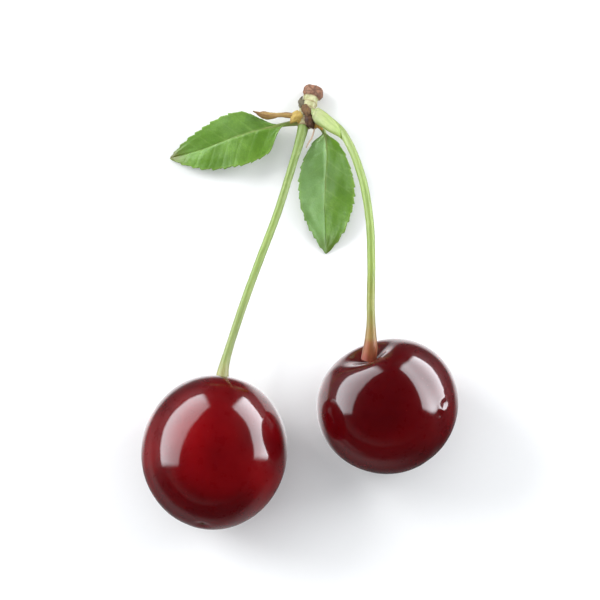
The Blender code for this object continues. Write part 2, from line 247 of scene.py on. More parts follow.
# Small dry pieces, in millimetres: the route from foot to tip, the half width, how far it narrows at the
# waist (0 if left out), how blunt the tip's point is (2.2), how far the sides curl, the twist in degrees (0),
# flakes as (turn in degrees, size, drop), and the light and the dark colour
SCALES = {
    "bract_dry": {
        "slot": "dry_bract",
        "midrib": [
            (-1.2, 28.5, 3.6), (-2.1, 28.6, 3.75), (-3.2, 28.45, 4.0),
            (-4.9, 28.3, 4.25), (-6.2, 28.5, 4.5), (-7.1, 28.85, 4.85),
        ],
        "half_width": 0.55,
        "waist": 0.45,
        "point": 2.6,
        "curl": 0.9,
        "twist": 40.0,
        "flakes": [(0, 1.0, 0.0)],
        "colours": ((0.38, 0.27, 0.06), (0.20, 0.09, 0.035)),
    },
    "scale_papery": {
        "slot": "papery_scale",
        "midrib": [(0.1, 28.7, 3.9), (-0.6, 28.25, 4.05), (-1.1, 27.8, 3.85), (-1.5, 27.3, 3.5)],
        "half_width": 0.62,
        "curl": 0.6,
        "twist": 20.0,
        "flakes": [(0, 1.0, 0.0), (38, 0.72, 0.25), (-24, 0.85, 0.3), (-50, 0.7, 0.45)],
        "colours": ((0.50, 0.37, 0.085), (0.29, 0.175, 0.03)),
    },
    "scale_brown": {
        "slot": "brown_scale",
        "midrib": [(0.65, 30.2, 3.5), (0.75, 29.6, 3.95), (0.9, 29.0, 4.15), (1.1, 28.3, 4.2)],
        "half_width": 0.62,
        "point": 2.4,
        "curl": 0.8,
        "twist": -16.0,
        "flakes": [(0, 1.0, 0.0), (16, 0.85, 0.2), (-22, 0.8, 0.2)],
        "colours": ((0.18, 0.09, 0.02), (0.055, 0.023, 0.006)),
    },
    "scale_dark": {
        "slot": "dark_scale",
        "midrib": [(1.0, 28.6, 4.1), (1.3, 27.8, 4.25), (1.6, 27.1, 4.05), (1.95, 26.45, 3.65)],
        "half_width": 0.72,
        "curl": 0.8,
        "twist": 14.0,
        "flakes": [(0, 1.0, 0.0), (26, 0.8, 0.22), (-20, 0.9, 0.25), (48, 0.6, 0.4)],
        "colours": ((0.105, 0.04, 0.009), (0.026, 0.009, 0.0035)),
    },
    "scale_amber": {
        "slot": "amber_scale",
        "midrib": [(2.0, 28.0, 3.25), (2.5, 27.5, 3.25), (2.95, 27.0, 3.1), (3.25, 26.5, 2.8)],
        "half_width": 0.62,
        "curl": 0.4,
        "flakes": [(0, 1.0, 0.0), (28, 0.8, 0.15), (-30, 0.75, 0.2)],
        "colours": ((0.62, 0.41, 0.10), (0.42, 0.21, 0.035)),
    },
    # The grey scale is a dark sheet laid in the shade at the left of the spur's neck: a painted shadow
    "scale_grey": {
        "slot": "grey_scale",
        "midrib": [(0.15, 29.8, 3.3), (0.02, 30.4, 3.35), (0.05, 31.0, 3.15), (0.25, 31.5, 2.85)],
        "half_width": 0.36,
        "curl": 0.6,
        "flakes": [(0, 1.0, 0.0), (-20, 0.8, 0.12)],
        "colours": ((0.15, 0.13, 0.07), (0.058, 0.046, 0.025)),
    },
}

# Tints that the finishes mix in
PORE_PINK = (0.40, 0.05, 0.04)
# Painted shade for a cherry's stalk hollow
HOLLOW_PAINTED_SHADE = (0.10, 0.008, 0.006)
STREAK_SHADE = (0.55, 0.66, 0.45)
BLOTCH_OLIVE = (0.36, 0.43, 0.16)
SPECK_STRAW = (0.50, 0.50, 0.26)
SPUR_GREEN = (0.30, 0.30, 0.115)
SPUR_CREAM = (0.49, 0.49, 0.27)
RING_BROWN = (0.24, 0.15, 0.055)
PATCH_BROWN = (0.17, 0.12, 0.06)
# Painted sheen on one half of a leaf's upper side
PAINTED_SHEEN_GREEN = (0.21, 0.38, 0.135)
VEIN_GREEN = (0.26, 0.40, 0.10)
LEAF_END_BROWN = (0.115, 0.082, 0.022)
MARGIN_GREEN = (0.28, 0.42, 0.08)
UNDER_VEIN_GREEN = (0.46, 0.56, 0.27)
CRUST_TAN = (0.40, 0.25, 0.16)
CRACK_BROWN = (0.07, 0.03, 0.02)
# Painted reflection: the dark that the gloss sees in place of the table
PAINTED_DARK_REFLECTION = (0.03, 0.026, 0.028)

# Softboxes are (name, place, (width, height), radiance, brightness left at the top edge). Keys are (name,
# place, side, share of the key's strength).
SOFTBOXES = [
    ("left_softbox", (-0.122, 0.062, 0.066), (0.33, 0.135), 10.0, 0.45),
    ("right_softbox", (0.095, 0.038, 0.037), (0.185, 0.084), 15.0, 0.5),
]
KEYS = [("left_key", (-0.75, 0.35, 0.55), 0.5, 1.0), ("right_key", (0.7, 0.3, 0.45), 0.4, 0.55)]
LIGHT_AIM = (0.0, -0.012, 0.012)
TABLE_RADIUS = 3.0


# ---------------------------------------------------------------- settings

COLOUR = {"subtype": "COLOR", "size": 3, "min": 0, "max": 1}
LENGTH = {"subtype": "DISTANCE", "unit": "LENGTH"}
ANGLE = {"subtype": "ANGLE"}


class CherrySkinSettings(bpy.types.PropertyGroup):
    """What a user would change on the fruit."""

    bright_red: FloatVectorProperty(
        name="Bright Red",
        description="The skin where light comes back out of the flesh",
        default=(0.205, 0.0010, 0.0030),
        **COLOUR,
    )
    deep_red: FloatVectorProperty(
        name="Deep Red", description="The ripest, darkest skin", default=(0.058, 0.0005, 0.0016), **COLOUR
    )
    suture_depth: FloatProperty(
        name="Suture Depth", description="How deep the seam down one side is", default=0.00022, **LENGTH
    )
    suture_width: FloatProperty(
        name="Suture Width", description="Half the seam's width round the fruit", default=0.16, **ANGLE
    )
    unevenness: FloatProperty(
        name="Unevenness",
        description="How far the skin swells and sinks from a true round",
        default=0.00022,
        **LENGTH,
    )
    segments: IntProperty(name="Segments", description="Faces round the fruit", default=168)


class StalkSettings(bpy.types.PropertyGroup):
    """What a user would change on the stalks."""

    radius: FloatProperty(
        name="Radius", description="Radius along the plain middle of a stalk", default=0.0006, **LENGTH
    )
    flare: FloatProperty(
        name="Flare", description="How many times thicker it is in the fruit's hollow", default=1.95
    )
    foot: FloatProperty(
        name="Foot", description="How many times thicker it is where it leaves the spur", default=1.4
    )
    green: FloatVectorProperty(
        name="Green",
        description="The fresh green of a stalk's middle",
        default=(0.25, 0.345, 0.078),
        **COLOUR,
    )
    blush: FloatVectorProperty(
        name="Blush",
        description="The reddish end that sits in the riper fruit",
        default=(0.30, 0.065, 0.035),
        **COLOUR,
    )


class LeafSettings(bpy.types.PropertyGroup):
    """What a user would change on the leaves."""

    thickness: FloatProperty(name="Thickness", description="Blade thickness", default=0.0002, **LENGTH)
    teeth: IntProperty(name="Teeth", description="Large teeth on each margin", default=13)
    tooth_depth: FloatProperty(
        name="Tooth Depth", description="How far a tooth stands out", default=0.0003, **LENGTH
    )
    veins: IntProperty(name="Side Veins", description="Side veins on each half", default=7)
    upper: FloatVectorProperty(
        name="Upper Green", description="The upper side's green", default=(0.088, 0.204, 0.010), **COLOUR
    )
    under: FloatVectorProperty(
        name="Under Green", description="The paler green underneath", default=(0.26, 0.38, 0.14), **COLOUR
    )


class SpurSettings(bpy.types.PropertyGroup):
    """What a user would change on the spur and its corky end."""

    radius: FloatProperty(name="Radius", description="The spur's radius", default=0.0012, **LENGTH)
    rings: IntProperty(name="Ring Scars", description="Ring scars left along the spur", default=5)
    knob_radius: FloatProperty(
        name="Knob Radius", description="Radius of the corky end", default=0.00152, **LENGTH
    )
    bark: FloatVectorProperty(
        name="Bark", description="The corky end's brown", default=(0.33, 0.155, 0.085), **COLOUR
    )


class StageSettings(bpy.types.PropertyGroup):
    """The table, the lights and the camera."""

    elevation: FloatProperty(
        name="Elevation",
        description="How far the camera stands above the horizon",
        default=math.radians(80),
        **ANGLE,
    )
    lens: FloatProperty(name="Lens", description="Focal length in millimetres", default=300.0)
    fill: FloatProperty(
        name="Fill", description="Share of the picture's height that the bunch takes", default=0.8
    )
    table: FloatVectorProperty(
        name="Table", description="The table's colour", default=(0.86, 0.87, 0.88), **COLOUR
    )
    ambient: FloatProperty(name="Ambient", description="Soft light from all round", default=0.93)
    key: FloatProperty(name="Key", description="Light on the table from the left panel", default=0.42)


# ---------------------------------------------------------------- node trees


class Value:
    """A node's output, which numbers and other outputs can be reckoned with."""

    def __init__(self, graph, socket):
        self.graph, self.socket = graph, socket

    def __add__(self, other):
        return self.graph.math("ADD", self, other)

    def __sub__(self, other):
        return self.graph.math("SUBTRACT", self, other)

    def __rsub__(self, other):
        return self.graph.math("SUBTRACT", other, self)

    def __mul__(self, other):
        return self.graph.math("MULTIPLY", self, other)

    def __truediv__(self, other):
        return self.graph.math("DIVIDE", self, other)


class Graph:
    """Builds a node tree a line at a time. What a method makes comes back as a Value."""

    def __init__(self, tree):
        self.tree = tree

    def node(self, kind, feeds=None, **settings):
        """A node with its settings, and its inputs fed with constants or with Values."""
        node = self.tree.nodes.new(kind)
        for name, value in settings.items():
            setattr(node, name, value)
        for key, value in (feeds or {}).items():
            self.feed(node.inputs[key], value)
        return node

    def out(self, kind, feeds=None, output=0, **settings):
        """A new node's output, the first unless another is named."""
        return Value(self, self.node(kind, feeds, **settings).outputs[output])

    def feed(self, socket, value):
        if isinstance(value, Value):
            self.tree.links.new(value.socket, socket)
        else:
            socket.default_value = value

    def finish(self, feeds, shader="Principled BSDF"):
        """Feeds the shader at the tree's end."""
        for key, value in feeds.items():
            self.feed(self.tree.nodes[shader].inputs[key], value)

    def math(self, operation, *values):
        return self.out("ShaderNodeMath", dict(enumerate(values)), operation=operation)

    def vector(self, operation, *values):
        output = "Value" if operation in ("LENGTH", "DOT_PRODUCT") else "Vector"
        return self.out("ShaderNodeVectorMath", dict(enumerate(values)), output, operation=operation)

    def scaled(self, vector, amount):
        return self.out("ShaderNodeVectorMath", {0: vector, "Scale": amount}, operation="SCALE")

    def split(self, vector):
        node = self.node("ShaderNodeSeparateXYZ", {0: vector})
        return [Value(self, socket) for socket in node.outputs[:3]]

    def join(self, x, y, z=0.0):
        return self.out("ShaderNodeCombineXYZ", {0: x, 1: y, 2: z})

    def bell(self, distance, width):
        """1 at no distance, falling away smoothly over width."""
        share = distance / width
        return self.math("EXPONENT", share * share * -1.0)

    def span(self, value, low, high, to_low=0.0, to_high=1.0):
        """Value mapped smoothly from low..high."""
        feeds = {"Value": value, 1: low, 2: high, 3: to_low, 4: to_high}
        return self.out("ShaderNodeMapRange", feeds, interpolation_type="SMOOTHSTEP")

    def mix(self, factor, first, second, mode="MIX"):
        feeds = {0: factor, 6: colour4(first), 7: colour4(second)}
        return self.out("ShaderNodeMix", feeds, 2, data_type="RGBA", blend_type=mode, clamp_factor=True)

    def place(self, shift=0.0):
        """Object coordinates, shifted so that no two pieces share a pattern."""
        coordinates = self.out("ShaderNodeTexCoord", output="Object")
        location = (shift, shift * 1.7, -shift)
        return self.out("ShaderNodeMapping", {"Vector": coordinates, "Location": location})

    def noise(self, vector, scale, detail=2.0, roughness=0.5, distortion=0.0):
        """Soft noise with scale features in a metre."""
        feeds = {"Vector": vector, "Scale": scale, "Detail": detail, "Roughness": roughness}
        return self.out("ShaderNodeTexNoise", feeds | {"Distortion": distortion}, "Fac")

    def cells(self, vector, scale, feature="F1"):
        feeds = {"Vector": vector, "Scale": scale}
        return self.out("ShaderNodeTexVoronoi", feeds, "Distance", feature=feature)

    def attribute(self, name, output="Fac"):
        return self.out("ShaderNodeAttribute", output=output, attribute_name=name)

    def grain(self, length, shift, sheet=False):
        """Places that run along a stem or a sheet, so that a pattern there follows it."""
        along = self.attribute("along") * length + shift
        if sheet:
            return self.join(self.attribute("across"), along)
        x, y, _ = self.split(self.attribute("ring", "Vector"))
        return self.join(x, y, along)

    def ramp(self, factor, stops):
        """A colour that changes smoothly through the given (place, colour) stops."""
        node = self.node("ShaderNodeValToRGB", {0: factor})
        node.color_ramp.interpolation = "EASE"
        elements = node.color_ramp.elements
        while len(elements) < len(stops):
            elements.new(0.5)
        for element, (place, colour) in zip(elements, stops):
            element.position = place
            element.color = colour4(colour)
        return Value(self, node.outputs["Color"])

    def bump(self, height, strength, distance, under=None):
        feeds = {"Height": height, "Strength": strength, "Distance": distance}
        if under is not None:
            feeds["Normal"] = under
        return self.out("ShaderNodeBump", feeds)


def colour4(value):
    """A colour with its alpha, or a node's output as it is."""
    return value if isinstance(value, Value) else (*value[:3], 1.0)


def material_graph(name):
    """A new material and its graph."""
    material = bpy.data.materials.new(name)
    material.use_nodes = True
    return material, Graph(material.node_tree)


def shape_tree(name, numbers, others):
    """A new geometry tree with named inputs, its graph and the values that come from them."""
    tree = bpy.data.node_groups.new(name, "GeometryNodeTree")
    tree.interface.new_socket("Geometry", in_out="INPUT", socket_type="NodeSocketGeometry")
    for label, kind in ({label: "Float" for label in numbers} | others).items():
        tree.interface.new_socket(label, in_out="INPUT", socket_type="NodeSocket" + kind)
    tree.interface.new_socket("Geometry", in_out="OUTPUT", socket_type="NodeSocketGeometry")
    graph = Graph(tree)
    return tree, graph, {socket.name: Value(graph, socket) for socket in graph.node("NodeGroupInput").outputs}


def end_tree(graph, geometry, material):
    """Real, smooth, painted geometry as the tree's result."""
    real = graph.out("GeometryNodeRealizeInstances", {"Geometry": geometry})
    smooth = graph.out("GeometryNodeSetShadeSmooth", {"Geometry": real})
    painted = graph.out("GeometryNodeSetMaterial", {"Geometry": smooth, "Material": material})
    graph.node("NodeGroupOutput", {0: painted})


def keep_value(graph, geometry, name, value, kind="FLOAT"):
    """Stores a value on every point, for the material to read."""
    feeds = {"Geometry": geometry, "Name": name, "Value": value}
    return graph.out("GeometryNodeStoreNamedAttribute", feeds, data_type=kind, domain="POINT")


def grow(name, start, tree, values):
    """Runs a geometry tree on a mesh and returns the result as a plain mesh."""
    holder = bpy.data.objects.new(name + "_start", start)
    bpy.context.scene.collection.objects.link(holder)
    modifier = holder.modifiers.new("shape", "NODES")
    modifier.node_group = tree
    sockets = {
        item.name: item.identifier
        for item in tree.interface.items_tree
        if item.item_type == "SOCKET" and item.in_out == "INPUT"
    }
    for label, value in values.items():
        modifier[sockets[label]] = value
    bpy.context.view_layer.update()
    evaluated = holder.evaluated_get(bpy.context.evaluated_depsgraph_get())
    made = bpy.data.meshes.new_from_object(evaluated)
    made.name = name
    holder.modifiers.clear()
    bpy.data.objects.remove(holder)
    if not made.polygons:
        raise RuntimeError(f"{name} came out empty")
    return made


def push_out(graph, geometry, distance):
    """Moves every point along its normal."""
    push = graph.scaled(graph.out("GeometryNodeInputNormal"), distance)
    return graph.out("GeometryNodeSetPosition", {"Geometry": geometry, "Offset": push})


def fruit_tree():
    """A ball made into a cherry: full shoulders, a hollow for the stalk, a seam, and soft swells."""
    numbers = ["Width", "Depth", "Height", "Shoulders", "Hollow Depth", "Hollow Radius"]
    numbers += ["Seam Depth", "Seam Width", "Unevenness", "Grain"]
    others = {"Seam Side": "Vector", "Segments": "Int", "Skin": "Material"}
    tree, g, size = shape_tree("Cherry Shape", numbers, others)
    feeds = {"Segments": size["Segments"], "Rings": size["Segments"] * 0.7, "Radius": 1.0}
    ball = g.out("GeometryNodeMeshUVSphere", feeds, "Mesh")
    x, y, z = g.split(g.out("GeometryNodeInputPosition"))
    girth = size["Shoulders"] * z + 1.0
    flat = g.join(x * girth * (size["Width"] * 0.5), y * girth * (size["Depth"] * 0.5))
    away = g.vector("LENGTH", flat)

    above = g.math("GREATER_THAN", z, 0.0)
    hollow = g.bell(away, size["Hollow Radius"]) * above
    blossom_radius, blossom_depth = 0.0011, 0.0003
    blossom = g.bell(away, blossom_radius) * (1.0 - above)
    height = z * (size["Height"] * 0.5) - hollow * size["Hollow Depth"] + blossom * blossom_depth

    just_over_one = 1.0001
    turn = g.vector("DOT_PRODUCT", g.vector("NORMALIZE", flat), size["Seam Side"])
    off_seam = g.math("SQRT", (just_over_one - turn) * 2.0)
    seam = g.bell(off_seam, size["Seam Width"]) * g.math("SQRT", just_over_one - z * z)
    shrink = 1.0 - seam * size["Seam Depth"] / g.math("MAXIMUM", away, 0.001)
    level_x, level_y, _ = g.split(g.scaled(flat, shrink))

    geometry = keep_value(g, ball, "hollow", hollow)
    geometry = keep_value(g, geometry, "stalk_end", z * 0.5 + 0.5)
    geometry = keep_value(g, geometry, "seam", seam)
    feeds = {"Geometry": geometry, "Position": g.join(level_x, level_y, height)}
    geometry = g.out("GeometryNodeSetPosition", feeds)
    swells_in_a_metre, ripples_in_a_swell, ripple_share = 90.0, 4.0, 0.16
    drift = g.join(size["Grain"], size["Grain"])
    here = g.vector("ADD", g.scaled(g.out("GeometryNodeInputPosition"), swells_in_a_metre), drift)
    swell = g.noise(here, 1.0, 1.0, 0.4) - 0.5
    ripple = g.noise(g.scaled(here, ripples_in_a_swell), 1.0, 1.0, 0.5) - 0.5
    geometry = push_out(g, geometry, (ripple * ripple_share + swell) * size["Unevenness"])
    end_tree(g, geometry, size["Skin"])
    return tree


def stem_tree():
    """A round stem along a path: thicker at both ends, with ring scars where asked for."""
    numbers = ["Radius", "Flare", "Flare Length", "Foot", "Foot Length", "Rings", "Ring Height", "Unevenness"]
    others = {"Steps": "Int", "Sides": "Int", "Skin": "Material"}
    tree, g, size = shape_tree("Stem Along Path", numbers, others)
    path = g.out("GeometryNodeMeshToCurve", {"Mesh": size["Geometry"]})
    path = g.out("GeometryNodeResampleCurve", {"Curve": path, "Count": size["Steps"]})
    share = g.out("GeometryNodeSplineParameter", output="Factor")
    flare = g.bell(share, size["Flare Length"]) * (size["Flare"] - 1.0)
    foot = g.bell(1.0 - share, size["Foot Length"]) * (size["Foot"] - 1.0)
    wave = g.math("MAXIMUM", g.math("COSINE", share * size["Rings"] * TURN), 0.0)
    ring = g.math("POWER", wave, 2.0) * size["Ring Height"]
    radius = (flare + foot + 1.0 + ring) * size["Radius"]
    path = keep_value(g, path, "along", share)
    path = keep_value(g, path, "scar", wave)
    outline = g.out("GeometryNodeCurvePrimitiveCircle", {"Resolution": size["Sides"], "Radius": 1.0})
    outline = keep_value(g, outline, "ring", g.out("GeometryNodeInputPosition"), "FLOAT_VECTOR")
    feeds = {"Curve": path, "Profile Curve": outline, "Scale": radius, "Fill Caps": True}
    tube = g.out("GeometryNodeCurveToMesh", feeds)
    lumps_in_a_metre = 700.0
    here = g.scaled(g.out("GeometryNodeInputPosition"), lumps_in_a_metre)
    tube = push_out(g, tube, (g.noise(here, 1.0) - 0.5) * size["Unevenness"])
    end_tree(g, tube, size["Skin"])
    return tree


def crust_tree():
    """Corky grains scattered over a surface, sunk half into it."""
    others = {"Seed": "Int", "Skin": "Material"}
    tree, g, size = shape_tree("Corky Grains", ["Density", "Smallest", "Largest"], others)
    feeds = {"Mesh": size["Geometry"], "Density": size["Density"], "Seed": size["Seed"]}
    spots = g.node("GeometryNodeDistributePointsOnFaces", feeds).outputs
    grain = g.out("GeometryNodeMeshUVSphere", {"Segments": 8, "Rings": 5, "Radius": 1.0}, "Mesh")
    feeds = {2: size["Smallest"], 3: size["Largest"], "Seed": size["Seed"]}
    girth, flatness = g.out("FunctionNodeRandomValue", feeds, 1, data_type="FLOAT"), 0.6
    feeds = {
        "Points": Value(g, spots["Points"]),
        "Instance": grain,
        "Rotation": Value(g, spots["Rotation"]),
        "Scale": g.join(girth, girth, girth * flatness),
    }
    end_tree(g, g.out("GeometryNodeInstanceOnPoints", feeds), size["Skin"])
    return tree


# ---------------------------------------------------------------- finishes


def cherry_skin(name, settings, brightness, shift):
    """Thin glossy skin over translucent red flesh, with tiny pale breathing spots, and painted shade towards
    both ends and in the stalk hollow.
    """
    material, g = material_graph(name)
    here = g.place(shift)
    clouds = g.span(g.noise(here, 90.0, 1.0), 0.25, 0.75)
    mottle = g.noise(here, 620.0, 3.0, 0.6)
    end = g.attribute("stalk_end")
    # Painted shade: the skin is painted a deeper red towards the stalk end and towards the blossom end
    lit = g.span(end, 0.98, 0.45, 0.2, 1.0) * g.span(end, 0.02, 0.4, 0.35, 1.0) * brightness
    colour = g.mix(((mottle - 0.5) * 0.3 + clouds) * lit, settings.deep_red, settings.bright_red)
    colour = g.mix(g.attribute("seam") * 0.35, colour, settings.deep_red)
    spots = g.span(g.cells(here, 900.0), 0.11, 0.03) * g.span(g.noise(here, 480.0, 0.0), 0.5, 0.62)
    colour = g.mix(spots * 0.14, colour, PORE_PINK)
    # Painted shade deepens the red in the stalk hollow
    colour = g.mix(g.attribute("hollow") * 0.55, colour, HOLLOW_PAINTED_SHADE)
    pores = g.bump(spots, 0.08, 0.00002)
    g.finish(
        {
            "Base Color": colour,
            "Roughness": g.span(mottle, 0.3, 0.7, 0.26, 0.36),
            "IOR": 1.4,
            "Specular IOR Level": 0.06,
            "Subsurface Weight": 0.35,
            "Subsurface Radius": (1.0, 0.06, 0.04),
            "Subsurface Scale": 0.002,
            "Coat Weight": 0.9,
            "Coat Roughness": 0.07,
            "Coat IOR": 1.5,
            "Normal": g.bump(g.noise(here, 1500.0, 2.0, 0.55), 0.10, 0.00006, under=pores),
            "Coat Normal": g.bump(g.noise(here, 420.0), 0.12, 0.00012),
        }
    )
    return material


def stalk_skin(name, tones, shift, length=4.0, sheet=False):
    """Fresh green stalk: its tones run from end to end, with fine streaks and blotches along it."""
    material, g = material_graph(name)
    streaks = g.noise(g.grain(length, shift, sheet), 2.6, 3.0, 0.6)
    blotches = g.noise(g.place(shift + 1.0), 330.0, 3.0, 0.6)
    specks = g.span(g.cells(g.place(shift), 1900.0), 0.14, 0.05)
    colour = g.ramp(g.attribute("along") + (blotches - 0.5) * 0.06, tones)
    colour = g.mix(g.span(streaks, 0.62, 0.38, 0.0, 0.55), colour, STREAK_SHADE, "MULTIPLY")
    colour = g.mix(g.span(blotches, 0.5, 0.8, 0.0, 0.3), colour, BLOTCH_OLIVE)
    colour = g.mix(specks * 0.2, colour, SPECK_STRAW)
    grooves = g.bump(streaks, 0.5, 0.00005)
    g.finish(
        {
            "Base Color": colour,
            "Roughness": g.span(streaks, 0.2, 0.8, 0.38, 0.54),
            "Subsurface Weight": 0.2,
            "Subsurface Radius": (0.5, 0.7, 0.15),
            "Subsurface Scale": 0.0006,
            "Specular IOR Level": 0.4,
            "Normal": g.bump(specks, 0.25, 0.00002, under=grooves),
        }
    )
    return material


def spur_skin(name, shift):
    """The spur: cream and green, browned in patches and along its ring scars."""
    material, g = material_graph(name)
    here = g.place(shift)
    streaks = g.noise(g.grain(2.0, shift), 2.6, 3.0, 0.6)
    patches = g.span(g.noise(here, 620.0, 3.0, 0.6), 0.52, 0.66)
    colour = g.mix(g.span(streaks, 0.35, 0.65), SPUR_GREEN, SPUR_CREAM)
    colour = g.mix(g.span(g.attribute("scar"), 0.5, 1.0) * 0.55, colour, RING_BROWN)
    colour = g.mix(patches * 0.7, colour, PATCH_BROWN)
    rough = g.bump(g.noise(here, 2600.0, 3.0, 0.6), 0.4, 0.00006)
    normal = g.bump(streaks, 0.4, 0.00005, under=rough)
    g.finish({"Base Color": colour, "Roughness": 0.6, "Specular IOR Level": 0.35, "Normal": normal})
    return material


def leaf_upper(name, leaf, settings, shift):
    """The upper side: pale sunken veins, puckered green between them, a waxy sheen, and a painted sheen that
    makes one half paler.
    """
    material, g = material_graph(name)
    here = g.place(shift)
    along, across, vein = (g.attribute(kept) for kept in ("along", "across", "vein"))
    patches = g.span(g.noise(here, 260.0, 3.0, 0.6), 0.3, 0.7)
    shade = g.span(g.noise(here, 170.0, 3.0, 0.6), 0.46, 0.68)
    net = g.span(g.cells(here, 2300.0, "DISTANCE_TO_EDGE"), 0.0, 0.16)
    light = [a * b for a, b in zip(settings.upper, (1.5, 1.35, 1.7))]
    dark = [a * b for a, b in zip(settings.upper, (0.62, 0.66, 0.6))]
    colour = g.mix(patches, settings.upper, light)
    colour = g.mix(shade * 0.5, colour, dark)
    colour = g.mix(g.span(net, 0.0, 1.0, 0.3, 0.0), colour, dark)
    # Painted sheen: one half of the blade is made paler and bluer, as if it caught the light
    painted_sheen = g.span(across, -0.02, 0.04) * leaf["pale_half"] * g.span(patches, 0.0, 1.0, 0.6, 1.0)
    colour = g.mix(painted_sheen, colour, PAINTED_SHEEN_GREEN)
    colour = g.mix(g.math("POWER", vein, 1.6) * 0.55, colour, VEIN_GREEN)
    browned = g.span(along, 0.8, 1.0) * leaf["tip_brown"] + g.span(along, 0.13, 0.0) * 0.5
    colour = g.mix(browned * g.span(patches, 0.0, 1.0, 1.0, 0.6), colour, LEAF_END_BROWN)
    margin = g.span(g.math("ABSOLUTE", across), 0.88, 1.0)
    colour = g.mix(margin * 0.3, colour, MARGIN_GREEN)
    pucker = g.bump(net, 0.2, 0.00004)
    g.finish(
        {
            "Base Color": colour,
            "Roughness": g.span(patches, 0.0, 1.0, 0.33, 0.45),
            "Specular IOR Level": 0.42,
            "Sheen Weight": 0.05,
            "Sheen Roughness": 0.4,
            "Sheen Tint": (0.75, 0.95, 0.85, 1.0),
            "Subsurface Weight": 0.15,
            "Subsurface Radius": (0.4, 0.8, 0.1),
            "Subsurface Scale": 0.0005,
            "Normal": g.bump(g.noise(here, 2600.0), 0.15, 0.00003, under=pucker),
        }
    )
    return material


def leaf_under(name, settings, shift):
    """The underside: paler, duller, with raised veins paler still."""
    material, g = material_graph(name)
    net = g.span(g.cells(g.place(shift), 1500.0, "DISTANCE_TO_EDGE"), 0.0, 0.14)
    dark = [a * b for a, b in zip(settings.under, (0.75, 0.78, 0.7))]
    colour = g.mix(net, settings.under, dark)
    colour = g.mix(g.attribute("vein") * 0.8, colour, UNDER_VEIN_GREEN)
    normal = g.bump(net, -0.5, 0.00006)
    g.finish({"Base Color": colour, "Roughness": 0.62, "Specular IOR Level": 0.3, "Normal": normal})
    return material


def dry_scale(name, colours, shift, sheet=True):
    """Dead papery tissue: lengthwise fibres, darker blotches and a browned tip."""
    material, g = material_graph(name)
    light, dark = colours
    fibres = g.noise(g.grain(0.8, shift, sheet), 3.4, 4.0, 0.65, 0.3)
    blotches = g.noise(g.place(shift), 900.0, 3.0, 0.6)
    colour = g.mix(g.span(fibres, 0.3, 0.7), dark, light)
    colour = g.mix(g.span(blotches, 0.5, 0.7) * 0.55, colour, dark)
    colour = g.mix(g.span(g.attribute("along"), 0.72, 1.0) * 0.7, colour, dark)
    roughness = g.span(fibres, 0.2, 0.8, 0.55, 0.8)
    normal = g.bump(fibres, 0.7, 0.00008)
    g.finish({"Base Color": colour, "Roughness": roughness, "Specular IOR Level": 0.35, "Normal": normal})
    return material


def corky_bark(name, bark, shift):
    """Reddish brown cork: cracked, with pale crusts and dark pits."""
    material, g = material_graph(name)
    here = g.place(shift)
    crust = g.noise(here, 1400.0, 5.0, 0.7)
    cracks = g.span(g.cells(here, 1100.0, "DISTANCE_TO_EDGE"), 0.0, 0.16)
    patches = g.span(g.noise(here, 420.0), 0.4, 0.65)
    dark = [a * b for a, b in zip(bark, (0.45, 0.4, 0.4))]
    colour = g.mix(g.span(crust, 0.3, 0.7), dark, bark)
    colour = g.mix(patches * 0.5, colour, CRUST_TAN)
    colour = g.mix(0.55 - cracks * 0.55, colour, CRACK_BROWN)
    roughness = g.span(crust, 0.3, 0.7, 0.6, 0.85)
    normal = g.bump(crust, 0.6, 0.0001, under=g.bump(cracks, 0.6, 0.00012))
    g.finish({"Base Color": colour, "Roughness": roughness, "Specular IOR Level": 0.3, "Normal": normal})
    return material


# ---------------------------------------------------------------- shapes


def smooth_path(points, steps):
    """Points evenly placed on a smooth curve through the given ones, which are in millimetres."""
    shift = Vector(BUNCH_SHIFT_MM)
    route = [(Vector(p) + shift) * MM for p in points]
    route = [2 * route[0] - route[1]] + route + [2 * route[-1] - route[-2]]
    dense, between = [], 16
    for before, a, b, after in zip(route, route[1:], route[2:], route[3:]):
        for k in range(between):
            t = k / between
            bend = (2 * before - 5 * a + 4 * b - after) * t * t + (3 * a - before - 3 * b + after) * t**3
            dense.append(0.5 * (2 * a + (b - before) * t + bend))
    dense.append(route[-2])
    lengths = [0.0]
    for a, b in zip(dense, dense[1:]):
        lengths.append(lengths[-1] + (b - a).length)
    path, k = [], 0
    for n in range(steps + 1):
        target = lengths[-1] * n / steps
        while k < len(dense) - 2 and lengths[k + 1] < target:
            k += 1
        share = (target - lengths[k]) / (lengths[k + 1] - lengths[k])
        path.append(dense[k].lerp(dense[k + 1], min(share, 1.0)))
    return path


def directions(path):
    """The way along a path, the way to its side and the way up, at each of its points."""
    ends = [path[0]] + path + [path[-1]]
    found = []
    for before, after in zip(ends, ends[2:]):
        ahead = (after - before).normalized()
        side = ahead.cross(Vector((0, 0, 1))).normalized()
        found.append((ahead, side, side.cross(ahead).normalized()))
    return found


def add_piece(name, mesh, node):
    """Links a finished mesh at the origin as part of the bunch, in place of a CAD node."""
    piece = bpy.data.objects.new(name, mesh)
    bpy.context.scene.collection.objects.link(piece)
    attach(piece, BODY)
    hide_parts(node)
    return piece


def turned_to(axis):
    """The turn that takes the upright axis to the given one."""
    return Vector(axis).to_track_quat("Z", "Y").to_matrix().to_4x4()


def on_table(place, height=0.0):
    """A place in the plan, given in millimetres, as the laid-out bunch has it in metres."""
    x, y = ((a + b) * MM for a, b in zip(place, BUNCH_SHIFT_MM))
    return Vector((x, y, height))


